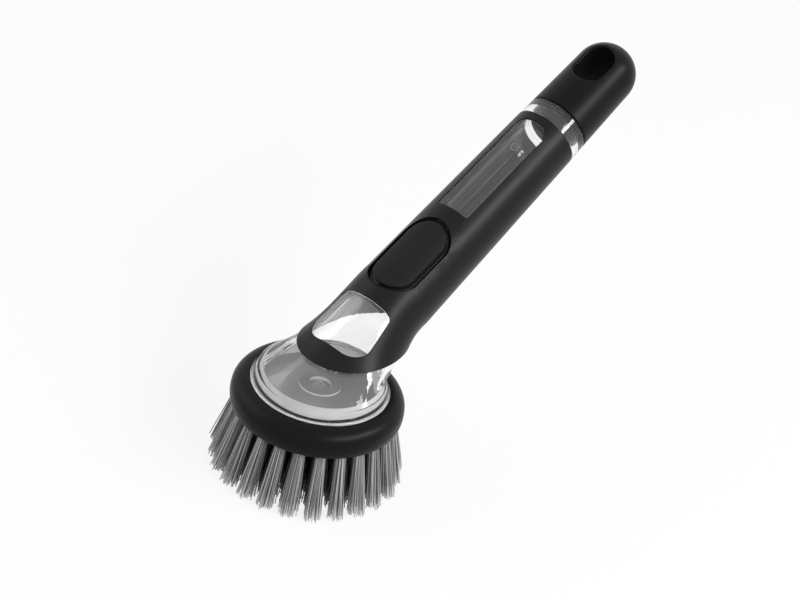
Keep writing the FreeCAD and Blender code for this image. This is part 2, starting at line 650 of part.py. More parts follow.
def tuft_anchors():
    """Flat wire anchors that hold the folded tufts in their holes."""
    length = 2 * (TUFT_ROOT_RADIUS + TUFT_HOLE_GAP + ANCHOR_BITE)
    top = BRISTLE_HEIGHT + TUFT_HOLE_DEPTH - TUFT_HOLE_GAP
    corner = Vector(-ANCHOR_THICKNESS / 2, -length / 2, top - ANCHOR_HEIGHT)
    anchor = Part.makeBox(ANCHOR_THICKNESS, length, ANCHOR_HEIGHT, corner)
    rings = TUFT_RINGS.values()
    anchors = [copy for root, tip, count in rings for copy in around(anchor, root, count)]
    return Part.makeCompound(anchors)


PIECES = {
    "tank": tank,
    "handle_sleeve": handle_sleeve,
    "button_pad": button_pad,
    "button_membrane": button_membrane,
    "button_frame": button_frame,
    "end_cap": end_cap,
    "cap_seal": cap_seal,
    "tank_base": tank_base,
    "base_seal": base_seal,
    "outlet_valve": outlet_valve,
    "valve_retainer": valve_retainer,
    "head_seal": head_seal,
    "brush_head": brush_head,
    "tuft_anchors": tuft_anchors,
}

os.makedirs("parts", exist_ok=True)
made = {name: make() for name, make in PIECES.items()}
for name, ring in TUFT_RINGS.items():
    made[name] = tuft_ring(*ring)
for name, shape in made.items():
    shape.translate(FRAME_SHIFT)
    shape.exportStep(f"parts/{name}.step")
    print(f"{name}: {len(shape.Solids)} solids, valid {shape.isValid()}, {shape.Volume:.1f} mm3")
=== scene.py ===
import logging
import math
from collections.abc import Callable
from dataclasses import dataclass, field
from enum import Enum
from typing import Any

import bmesh
import bpy
from mathutils import Matrix, Vector
from mathutils.bvhtree import BVHTree


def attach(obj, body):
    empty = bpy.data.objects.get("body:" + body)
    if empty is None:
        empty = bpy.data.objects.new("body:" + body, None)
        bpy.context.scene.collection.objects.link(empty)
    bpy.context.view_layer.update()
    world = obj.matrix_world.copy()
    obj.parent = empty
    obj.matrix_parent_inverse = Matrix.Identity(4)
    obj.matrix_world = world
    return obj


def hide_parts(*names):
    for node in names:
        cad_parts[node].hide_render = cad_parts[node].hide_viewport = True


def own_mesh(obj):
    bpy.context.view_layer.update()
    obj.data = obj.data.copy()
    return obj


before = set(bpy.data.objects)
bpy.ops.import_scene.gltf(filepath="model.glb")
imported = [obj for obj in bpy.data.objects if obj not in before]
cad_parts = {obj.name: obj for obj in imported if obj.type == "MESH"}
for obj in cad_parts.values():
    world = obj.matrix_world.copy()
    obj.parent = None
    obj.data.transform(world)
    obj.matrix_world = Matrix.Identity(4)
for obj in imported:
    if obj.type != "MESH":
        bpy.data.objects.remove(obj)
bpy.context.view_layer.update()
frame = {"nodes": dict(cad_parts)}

# Dish wand: a clear soap tank with a black grip moulded over it, a push button, a screw cap
# with a hanging slot, and a round brush. Metres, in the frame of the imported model.

LOG = logging.getLogger("dish_wand")
MM = 0.001
IMAGE_WIDTH = 800  # pixels of the photograph's frame
SENSOR_WIDTH = 36.0  # mm, Blender's usual sensor
# The attribute below holds each filament's random lightness and, on the inner rings, painted shade.
TONE_AND_SHADE = "tone_and_shade"  # attribute: how light a filament is
ALONG = "along"  # attribute: how far along a filament, from its root
FACING = 0.5  # cosine past which two directions count as facing
TOUCHING = 1e-6  # metres within which two faces touch


class Body(Enum):
    """Rigid bodies of the wand."""

    HANDLE = "handle"
    BUTTON = "button"
    CAP = "cap"
    CAP_WASHER = "cap_washer"
    BRUSH = "brush"
    HEAD_WASHER = "head_washer"


class TankSkin(Enum):
    """Skins of the tank's faces, numbered as its materials."""

    CLEAR = 0
    KEYED = 1
    PAINTED_LIGHT_WHITE = 2
    BORE = 3


class Slot(Enum):
    """Material slots of the record."""

    CLEAR = "clear_plastic"
    GRIP = "soft_grip"
    BUTTON = "button_rubber"
    SILICONE = "silicone"
    BLACK = "black_plastic"
    FROSTED = "frosted_plastic"
    WIRE = "anchor_wire"
    BRISTLE = "nylon_bristle"


# Helpers

def linear(code: str) -> tuple[float, float, float, float]:
    """Turn an sRGB hex colour into linear RGBA.

    Args:
        code: Six hex digits after a hash sign.

    Returns:
        Linear red, green and blue, with full alpha.
    """
    channels = []
    for start in (1, 3, 5):
        value = int(code[start:start + 2], 16) / 255
        channels.append(value / 12.92 if value <= 0.04045 else ((value + 0.055) / 1.055) ** 2.4)
    return (*channels, 1.0)


def add(
    tree: bpy.types.NodeTree, kind: str, inputs: dict[Any, Any] | None = None, **settings: Any
) -> bpy.types.Node:
    """Add a node with its settings and links.

    Args:
        tree: Tree that gets the node.
        kind: Blender's name for the node's type.
        inputs: Socket name or number to a value, or to the output socket that feeds it.
        settings: Properties of the node.

    Returns:
        The new node.
    """
    node = tree.nodes.new(kind)
    for name, value in settings.items():
        setattr(node, name, value)
    for key, value in (inputs or {}).items():
        if isinstance(value, bpy.types.NodeSocket):
            tree.links.new(value, node.inputs[key])
        else:
            node.inputs[key].default_value = value
    return node


def maths(tree: bpy.types.NodeTree, operation: str, first: Any, second: Any = 0.0) -> bpy.types.NodeSocket:
    """Work out one number from two.

    Args:
        tree: Tree that gets the node.
        operation: Blender's name for the sum.
        first: First number or socket.
        second: Second number or socket.

    Returns:
        The result.
    """
    return add(tree, "ShaderNodeMath", {0: first, 1: second}, operation=operation).outputs[0]


def joined(tree: bpy.types.NodeTree, x: Any, y: Any, z: Any) -> bpy.types.NodeSocket:
    """Join three numbers into a vector."""
    return add(tree, "ShaderNodeCombineXYZ", {0: x, 1: y, 2: z}).outputs[0]


def new_material(name: str) -> tuple[bpy.types.Material, bpy.types.NodeTree]:
    """Make an empty node material.

    Args:
        name: Name of the material.

    Returns:
        The material and its cleared node tree.
    """
    material = bpy.data.materials.new(name)
    material.use_nodes = True
    material.node_tree.nodes.clear()
    return material, material.node_tree


def grains(tree: bpy.types.NodeTree, size_mm: float, detail: float) -> bpy.types.NodeSocket:
    """Lay a noise pattern over the piece.

    Args:
        tree: Tree of the material.
        size_mm: Size of a grain.
        detail: Levels of finer noise in it.

    Returns:
        The noise, from 0 to 1.
    """
    place = add(tree, "ShaderNodeTexCoord")
    noise = add(tree, "ShaderNodeTexNoise", {
        "Vector": place.outputs["Object"], "Scale": 1 / (size_mm * MM), "Detail": detail})
    return noise.outputs["Fac"]


def about(
    tree: bpy.types.NodeTree, value: bpy.types.NodeSocket, middle: float, reach: float
) -> bpy.types.NodeSocket:
    """Turn a value from 0 to 1 into one about a middle.

    Args:
        tree: Tree of the material.
        value: The value.
        middle: What 0.5 becomes.
        reach: How far 0 and 1 lie from the middle.

    Returns:
        The new value.
    """
    ranged = add(tree, "ShaderNodeMapRange", {
        "Value": value, "To Min": middle - reach, "To Max": middle + reach})
    return ranged.outputs["Result"]


def surface(tree: bpy.types.NodeTree, inputs: dict[str, Any]) -> None:
    """End a material in one shader with these inputs."""
    shader = add(tree, "ShaderNodeBsdfPrincipled", inputs)
    add(tree, "ShaderNodeOutputMaterial", {"Surface": shader.outputs["BSDF"]})


# Finishes

@dataclass(frozen=True)
class GrainedBlack:
    """Black moulding from a spark-eroded tool: a fine even grain that turns gloss into a soft sheen."""

    name: str
    colour: str
    worn: str
    roughness: float
    specular: float
    grain_mm: float
    grain_depth_mm: float
    edge_mm: float
    handled_mm: float = 14.0

    def build(self) -> bpy.types.Material:
        """Make a black plastic or rubber with grain, soft edges and faint handling marks."""
        material, tree = new_material(self.name)
        broad = grains(tree, self.handled_mm, 4.0)
        tint = add(tree, "ShaderNodeMix", {
            "Factor": broad, "A": linear(self.colour), "B": linear(self.worn)}, data_type="RGBA")
        edge = add(tree, "ShaderNodeBevel", {"Radius": self.edge_mm * MM}, samples=6)
        bump = add(tree, "ShaderNodeBump", {
            "Height": grains(tree, self.grain_mm, 3.0), "Distance": self.grain_depth_mm * MM,
            "Strength": 0.35, "Normal": edge.outputs["Normal"]})
        surface(tree, {
            "Base Color": tint.outputs["Result"], "Roughness": about(tree, broad, self.roughness, 0.04),
            "Specular IOR Level": self.specular, "Normal": bump.outputs["Normal"]})
        return material


@dataclass(frozen=True)
class ClearCopolyester:
    """Clear moulding: bright edges, and dark streaks where its walls bend what lies behind them."""

    name: str
    tint: str
    roughness: float
    ripple_mm: float
    ripple_depth_mm: float
    clearness: float = 1.0

    def build(self) -> bpy.types.Material:
        """Make a clear plastic with the slight ripple of a moulded wall."""
        material, tree = new_material(self.name)
        bump = add(tree, "ShaderNodeBump", {
            "Height": grains(tree, self.ripple_mm, 1.0), "Distance": self.ripple_depth_mm * MM, "Strength": 0.5})
        surface(tree, {
            "Base Color": linear(self.tint), "Roughness": self.roughness, "IOR": 1.5,
            "Transmission Weight": self.clearness, "Normal": bump.outputs["Normal"]})
        return material


@dataclass(frozen=True)
class LightAndShadeSkin:
    """Skin of the clear tank that carries painted light and painted shade: a dull opaque colour on faces under
    the grip, in the collar and in the neck's bore.
    """

    name: str
    colour: str
    cloudy: str
    cloud_mm: float = 5.0

    def build(self) -> bpy.types.Material:
        """Make a dull, slightly cloudy skin."""
        material, tree = new_material(self.name)
        tint = add(tree, "ShaderNodeMix", {
            "Factor": grains(tree, self.cloud_mm, 3.0), "A": linear(self.colour),
            "B": linear(self.cloudy)}, data_type="RGBA")
        surface(tree, {"Base Color": tint.outputs["Result"], "Roughness": 0.6, "Specular IOR Level": 0.2})
        return material


@dataclass(frozen=True)
class MilkySilicone:
    """Moulded silicone rubber: milky, with a soft sheen, and a little light comes through."""

    name: str
    colour: str
    roughness: float
    clearness: float
    bloom_mm: float = 2.0

    def build(self) -> bpy.types.Material:
        """Make a translucent rubber with a dusty bloom."""
        material, tree = new_material(self.name)
        bloom = grains(tree, self.bloom_mm, 4.0)
        surface(tree, {
            "Base Color": linear(self.colour), "Roughness": about(tree, bloom, self.roughness, 0.08),
            "Transmission Weight": self.clearness, "IOR": 1.41})
        return material


@dataclass(frozen=True)
class DrawnSteel:
    """Flat drawn steel wire: bright, with a fine uneven gloss."""

    name: str
    colour: str
    roughness: float
    draw_mm: float = 0.3

    def build(self) -> bpy.types.Material:
        """Make a plain bright metal."""
        material, tree = new_material(self.name)
        surface(tree, {
            "Base Color": linear(self.colour), "Metallic": 1.0,
            "Roughness": about(tree, grains(tree, self.draw_mm, 2.0), self.roughness, 0.1)})
        return material


@dataclass(frozen=True)
class ExtrudedNylon:
    """Extruded nylon filament: grey, silky along its length, each one a little lighter or darker at random, with
    painted shade on the inner rings and painted light towards the tips.
    """

    name: str
    dark: str
    light: str
    tip: str
    painted_light_from: float
    roughness: float

    def build(self) -> bpy.types.Material:
        """Make a grey filament whose tone and tip come from the mesh's own attributes."""
        material, tree = new_material(self.name)
        tone_and_shade = add(tree, "ShaderNodeAttribute", attribute_name=TONE_AND_SHADE)
        along = add(tree, "ShaderNodeAttribute", attribute_name=ALONG)
        body = add(tree, "ShaderNodeMix", {
            "Factor": tone_and_shade.outputs["Fac"], "A": linear(self.dark), "B": linear(self.light)}, data_type="RGBA")
        # Painted light: over its last part each filament turns to the lighter tip colour, standing for the tips
        # lying out of the tufts' shade.
        painted_light_tip = add(tree, "ShaderNodeMapRange", {
            "Value": along.outputs["Fac"], "From Min": self.painted_light_from, "From Max": 1.0})
        colour = add(tree, "ShaderNodeMix", {
            "Factor": painted_light_tip.outputs["Result"], "A": body.outputs["Result"], "B": linear(self.tip)},
            data_type="RGBA")
        surface(tree, {"Base Color": colour.outputs["Result"], "Roughness": self.roughness, "IOR": 1.53})
        return material


@dataclass
class Finishes:
    """The wand's materials, each made once."""

    grip: bpy.types.Material = field(default_factory=GrainedBlack(
        "soft_touch_elastomer_moulded", "#111111", "#151515", 0.36, 0.15, 0.35, 0.02, 0.3).build)
    black: bpy.types.Material = field(default_factory=GrainedBlack(
        "black_polypropylene_moulded", "#0c0c0c", "#101010", 0.36, 0.1, 0.3, 0.015, 0.3).build)
    # Painted shade in the cap's slot: a darker black with almost no sheen, on a coarser grain.
    coarse_slot_shade: bpy.types.Material = field(default_factory=GrainedBlack(
        "black_polypropylene_moulded_coarse_painted_slot_shade", "#0a0a0a", "#0c0c0c", 0.7, 0.04, 0.6, 0.04, 0.3).build)
    rubber: bpy.types.Material = field(default_factory=GrainedBlack(
        "black_rubber_moulded_matte", "#191919", "#1e1e1e", 0.55, 0.1, 0.4, 0.02, 0.35).build)
    clear: bpy.types.Material = field(default_factory=ClearCopolyester(
        "clear_copolyester_moulded", "#fcfcfc", 0.02, 9.0, 0.05).build)
    floor: bpy.types.Material = field(default_factory=ClearCopolyester(
        "clear_copolyester_moulded_matt_floor", "#a8a8a8", 0.22, 4.0, 0.05, 0.45).build)
    # Painted light: grey on the tank's faces under the grip, where the black grip lies behind, standing for
    # light seen through the windows.
    painted_light_grey: bpy.types.Material = field(default_factory=LightAndShadeSkin(
        "clear_copolyester_painted_light_grey_under_grip", "#787878", "#888888").build)
    # Painted light: near-white on the collar, on the faces under the grip at the bell end, and on the upright
    # faces of the valve and its retainer.
    painted_light_white: bpy.types.Material = field(default_factory=LightAndShadeSkin(
        "clear_copolyester_painted_light_white", "#f2f2f2", "#fafafa").build)
    # Painted shade: dark grey on the inner faces of the neck's bore.
    bore: bpy.types.Material = field(default_factory=LightAndShadeSkin(
        "clear_copolyester_painted_shade_neck_bore", "#303030", "#464646").build)
    silicone: bpy.types.Material = field(default_factory=MilkySilicone(
        "milky_silicone_moulded", "#dadada", 0.38, 0.55).build)
    valve: bpy.types.Material = field(default_factory=MilkySilicone(
        "translucent_silicone_moulded", "#b4b4b4", 0.2, 0.45).build)
    steel: bpy.types.Material = field(default_factory=DrawnSteel("flat_steel_wire_drawn", "#b9b9b9", 0.35).build)
    # Its dark end gives the inner rings their painted shade, and its tip colour is painted light at the
    # filaments' tips.
    nylon: bpy.types.Material = field(default_factory=ExtrudedNylon(
        "grey_nylon_filament_extruded", "#1a1a1a", "#b4b4b4", "#cfcfcf", 0.8, 0.42).build)


# Shaping

@dataclass(frozen=True)
class HandleAxis:
    """The handle's slanting axis, from where it crosses the brush axis."""

    tilt: float = math.radians(28.1)
    crossing: tuple[float, float, float] = (-68.5 * MM, 0.0, 43.74 * MM)

    def direction(self, along: float, across: float, up: float) -> Vector:
        """Turn a direction in handle terms into one in the frame."""
        cos, sin = math.cos(self.tilt), math.sin(self.tilt)
        return Vector((along * cos - up * sin, across, along * sin + up * cos))

    def point(self, along: float, across: float, up: float) -> Vector:
        """Turn a place in handle terms into one in the frame."""
        return Vector(self.crossing) + self.direction(along, across, up)

    def along(self, place: Vector) -> float:
        """Tell how far along the axis a place lies."""
        return (place - Vector(self.crossing)).dot(self.direction(1.0, 0.0, 0.0))

    def faces_axis(self, place: Vector, normal: Vector) -> bool:
        """Tell whether a face at a place looks towards the axis."""
        spoke = place - self.point(self.along(place), 0.0, 0.0)
        return spoke.dot(normal) < -FACING * spoke.length


AXIS = HandleAxis()


def moulded(node: str, body: Body, shaping: Callable[[bmesh.types.BMesh], None] | None = None,
            weld_mm: float = 0.002, crease_deg: float = 32.0) -> bpy.types.Object:
    """Make a piece with the shape of its solid, merged and shaded as a smooth moulding.

    Args:
        node: Solid that the piece stands for.
        body: Body that it rides on.
        shaping: Further work on the merged shape.
        weld_mm: Points nearer than this are merged.
        crease_deg: Edges sharper than this stay creases.

    Returns:
        The piece, still without a material.
    """
    mesh = frame["nodes"][node].data.copy()
    mesh.name = f"{node}_shell"
    shape = bmesh.new()
    shape.from_mesh(mesh)
    bmesh.ops.remove_doubles(shape, verts=shape.verts, dist=weld_mm * MM)
    bmesh.ops.dissolve_degenerate(shape, edges=shape.edges, dist=weld_mm * MM)
    if shaping:
        shaping(shape)
    for face in shape.faces:
        face.smooth = True
    shape.to_mesh(mesh)
    shape.free()
    if "custom_normal" in mesh.attributes:
        mesh.attributes.remove(mesh.attributes["custom_normal"])
    mesh.set_sharp_from_angle(angle=math.radians(crease_deg))
    mesh.materials.clear()
    piece = bpy.data.objects.new(f"{node}_moulding", mesh)
    bpy.context.scene.collection.objects.link(piece)
    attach(piece, body.value)
    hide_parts(node)
    LOG.info("%s: %d faces", piece.name, len(mesh.polygons))
    return piece


def paint(piece: bpy.types.Object, *materials: bpy.types.Material) -> None:
    """Give a piece its materials."""
    for material in materials:
        piece.data.materials.append(material)


# Handle

@dataclass
class SoftGrip:
    """Black grip moulded over the tank."""

    sleeve: bpy.types.Object = None

    def build(self) -> None:
        """Shape the sleeve."""
        self.sleeve = moulded("handle_sleeve", Body.HANDLE)

    def dress(self, finishes: Finishes) -> None:
        """Give the sleeve its soft-touch finish."""
        paint(self.sleeve, finishes.grip)

    def cover(self) -> BVHTree:
        """Make a search tree of the sleeve's faces."""
        mesh = self.sleeve.data
        return BVHTree.FromPolygons([v.co for v in mesh.vertices], [face.vertices for face in mesh.polygons])


@dataclass
class SoapTank:
    """Clear tank: bell, tube, neck ring and the panes in the grip's windows."""

    rim_along: float = 18.0 * MM
    rim_turn: float = math.radians(60.0)
    contact: float = 0.4 * MM
    thread_top: float = 39.3 * MM
    thread_radius: float = 22.9 * MM
    collar_top: float = 43.6 * MM
    pale_below: float = 41.0 * MM
    bore_from: float = 148.6 * MM
    gate_place: tuple[float, float] = (123.8 * MM, -1.2 * MM)
    pane_radius: float = 14.7 * MM
    gate_radius: float = 1.7 * MM
    gate_section: float = 0.22 * MM
    pane_taper: float = 2.2 / 104.6
    flow_lines: tuple[tuple[float, float, float], ...] = (
        (86.0 * MM, 136.0 * MM, 3.7 * MM), (86.0 * MM, 117.0 * MM, -2.8 * MM))
    flow_width: float = 0.3 * MM
    flow_height: float = 0.11 * MM
    shell: bpy.types.Object = None
    marks: list[bpy.types.Object] = field(default_factory=list)

    def build(self) -> None:
        """Shape the tank, and the marks that its moulding left on the long pane."""
        self.shell = moulded("tank", Body.HANDLE, self.part_skins)
        self.marks.append(self.gate_mark())
        for number, (start, end, across) in enumerate(self.flow_lines):
            self.marks.append(self.flow_line(f"tank_flow_line_{number + 1}", start, end, across))

    def part_skins(self, shape: bmesh.types.BMesh) -> None:
        """Part the faces where the skins meet: at the grip's lower rim and across the handle."""
        along = AXIS.direction(1.0, 0.0, 0.0)
        slanted = AXIS.direction(math.cos(self.rim_turn), 0.0, math.sin(self.rim_turn))
        for place, normal in ((self.rim_along, slanted), (self.pale_below, along), (self.bore_from, along)):
            bmesh.ops.bisect_plane(
                shape, geom=[*shape.verts, *shape.edges, *shape.faces], dist=1e-7,
                plane_co=AXIS.point(place, 0.0, 0.0), plane_no=normal)

    def on_pane(self, along: float, across: float, rise: float) -> Vector:
        """Find a place over the long pane, which tapers towards the cap."""
        radius = self.pane_radius + (self.gate_place[0] - along) * self.pane_taper
        return AXIS.point(along, across, math.sqrt(radius ** 2 - across ** 2) + rise)

    def flow_line(self, name: str, start: float, end: float, across: float) -> bpy.types.Object:
        """Make a fine low ridge along the long pane.

        Args:
            name: Name of the ridge.
            start: Where it starts along the handle.
            end: Where it ends.
            across: How far it lies to the side.

        Returns:
            The ridge.
        """
        half = self.flow_width / 2
        outline = ((-half, -self.flow_height), (half, -self.flow_height), (0.0, self.flow_height))
        points = [self.on_pane(along, across + aside, rise) for along in (start, end) for aside, rise in outline]
        faces = [(0, 1, 2), (5, 4, 3), (0, 3, 4, 1), (1, 4, 5, 2), (2, 5, 3, 0)]
        return self.mark(name, points, faces)

    def mark(self, name: str, points: list[Vector], faces: list[tuple[int, ...]]) -> bpy.types.Object:
        """Make a piece of the tank's surface from points and faces.

        Args:
            name: Name of the piece.
            points: Corners.
            faces: Numbers of the corners of each face.

        Returns:
            The piece, with its faces turned outward.
        """
        mesh = bpy.data.meshes.new(name)
        mesh.from_pydata(points, [], faces)
        shape = bmesh.new()
        shape.from_mesh(mesh)
        bmesh.ops.recalc_face_normals(shape, faces=shape.faces)
        shape.to_mesh(mesh)
        shape.free()
        mesh.shade_smooth()
        piece = bpy.data.objects.new(name, mesh)
        bpy.context.scene.collection.objects.link(piece)
        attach(piece, Body.HANDLE.value)
        return piece

    def gate_mark(self, steps: int = 36, sides: int = 8) -> bpy.types.Object:
        """Make a small raised ring on the long pane.

        Args:
            steps: Points around the ring.
            sides: Points around its section.

        Returns:
            The ring.
        """
        along, across = self.gate_place
        middle = self.on_pane(along, across, 0.0)
        out = (middle - AXIS.point(along, 0.0, 0.0)).normalized()
        side = AXIS.direction(1.0, 0.0, 0.0)
        beside = out.cross(side)
        points = []
        for step in range(steps):
            spoke = side * math.cos(math.tau * step / steps) + beside * math.sin(math.tau * step / steps)
            for turn in range(sides):
                angle = math.tau * turn / sides
                reach = self.gate_radius + self.gate_section * math.cos(angle)
                points.append(middle + spoke * reach + out * self.gate_section * math.sin(angle))
        faces = []
        for step in range(steps):
            ahead = (step + 1) % steps
            for turn in range(sides):
                following = (turn + 1) % sides
                faces.append((step * sides + turn, ahead * sides + turn,
                              ahead * sides + following, step * sides + following))
        return self.mark("tank_gate_mark", points, faces)

    def dress(self, finishes: Finishes, cover: BVHTree) -> None:
        """Give the bare faces a clear finish, and paint light and shade on the hidden ones.

        Args:
            finishes: The wand's materials.
            cover: Faces of the grip.
        """
        paint(self.shell, finishes.clear, finishes.painted_light_grey, finishes.painted_light_white, finishes.bore)
        # The marks on the long pane take the same painted grey. On the flow lines it stands for streaks of
        # reflected light.
        for mark in self.marks:
            paint(mark, finishes.painted_light_grey)
        for face in self.shell.data.polygons:
            face.material_index = self.skin(face.center, face.normal, cover).value

    def skin(self, place: Vector, normal: Vector, cover: BVHTree) -> TankSkin:
        """Choose the skin of one face.

        Args:
            place: Middle of the face.
            normal: Outward direction of the face.
            cover: Faces of the grip.

        Returns:
            The skin: painted grey light under the grip, painted white light under the grip round the bell and in
                the collar, painted shade in the neck's bore.
        """
        along = AXIS.along(place)
        near, _, _, gap = cover.find_nearest(place, self.contact)
        if near and (gap < TOUCHING or (near - place).normalized().dot(normal) > FACING):
            # Faces under the grip get painted white light at the bell end and painted grey light further up.
            return TankSkin.PAINTED_LIGHT_WHITE if along < self.pale_below else TankSkin.KEYED
        spoke = (place - Vector(AXIS.crossing)).xy
        inward = spoke.dot(normal.xy) < -FACING * spoke.length
        in_collar = place.z < self.thread_top or (place.z < self.collar_top and inward)
        # Collar faces outside the thread's radius get painted white light.
        if in_collar and spoke.length > self.thread_radius:
            return TankSkin.PAINTED_LIGHT_WHITE
        # Inner faces of the neck's bore get painted shade.
        if along > self.bore_from and AXIS.faces_axis(place, normal):
            return TankSkin.BORE
        return TankSkin.CLEAR


@dataclass
class PushButton:
    """Oval button, the membrane under it and the frame that holds the membrane."""

    middle: float = 57.2 * MM
    pressed_crown: float = 0.2
    pad: bpy.types.Object = None
    membrane: bpy.types.Object = None
    frame: bpy.types.Object = None

    def build(self) -> None:
        """Shape the three pieces, and give the membrane a mesh of its own."""
        self.pad = moulded("button_pad", Body.BUTTON)
        self.membrane = moulded("button_membrane", Body.HANDLE)
        self.frame = moulded("button_frame", Body.HANDLE)
        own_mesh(self.membrane)

    def dress(self, finishes: Finishes) -> None:
        """Give the pieces their finishes."""
        paint(self.pad, finishes.rubber)
        paint(self.membrane, finishes.silicone)
        paint(self.frame, finishes.black)


@dataclass
class ScrewCap:
    """End cap with its hanging slot, and the washer under it."""

    slot_ends: tuple[float, float] = (168.6 * MM, 189.0 * MM)
    slot_half: float = 6.6 * MM
    upright: float = 0.2
    cap: bpy.types.Object = None
    washer: bpy.types.Object = None

    def build(self) -> None:
        """Shape the cap and its washer."""
        self.cap = moulded("end_cap", Body.CAP)
        self.washer = moulded("cap_seal", Body.CAP_WASHER)

    def dress(self, finishes: Finishes) -> None:
        """Give the pieces their finishes."""
        paint(self.cap, finishes.black, finishes.coarse_slot_shade)
        paint(self.washer, finishes.rubber)
        up = AXIS.direction(0.0, 0.0, 1.0)
        # The slot's upright walls take the painted slot shade.
        for face in self.cap.data.polygons:
            in_slot = self.slot_ends[0] < AXIS.along(face.center) < self.slot_ends[1]
            wall = abs(face.center.y) < self.slot_half and abs(face.normal.dot(up)) < self.upright
            face.material_index = int(in_slot and wall)


@dataclass
class TankFoot:
    """Clear lid of the bell's foot, its seal, the slit valve and the ring that holds the valve."""

    base: bpy.types.Object = None
    seal: bpy.types.Object = None
    valve: bpy.types.Object = None
    retainer: bpy.types.Object = None
    upright: float = 0.3

    def build(self) -> None:
        """Shape the four pieces."""
        self.base = moulded("tank_base", Body.HANDLE)
        self.seal = moulded("base_seal", Body.HANDLE)
        self.valve = moulded("outlet_valve", Body.HANDLE)
        self.retainer = moulded("valve_retainer", Body.HANDLE)

    def dress(self, finishes: Finishes) -> None:
        """Give the pieces their finishes."""
        paint(self.base, finishes.floor)
        paint(self.seal, finishes.silicone)
        paint(self.valve, finishes.valve, finishes.painted_light_white)
        paint(self.retainer, finishes.floor, finishes.painted_light_white)
        # Painted highlights: the upright faces of the valve and its retainer take the near-white, standing for
        # bright rims and crescents where light catches them.
        for piece in (self.valve, self.retainer):
            for face in piece.data.polygons:
                face.material_index = int(abs(face.normal.z) < self.upright)


# Brush

@dataclass
class BrushHead:
    """Black ring with the tuft plate, its wire anchors and the washer on it."""

    head: bpy.types.Object = None
    anchors: bpy.types.Object = None
    washer: bpy.types.Object = None

    def build(self) -> None:
        """Shape the three pieces."""
        self.head = moulded("brush_head", Body.BRUSH)
        self.anchors = moulded("tuft_anchors", Body.BRUSH)
        self.washer = moulded("head_seal", Body.HEAD_WASHER)

    def dress(self, finishes: Finishes) -> None:
        """Give the pieces their finishes."""
        paint(self.head, finishes.black)
        paint(self.anchors, finishes.steel)
        paint(self.washer, finishes.silicone)


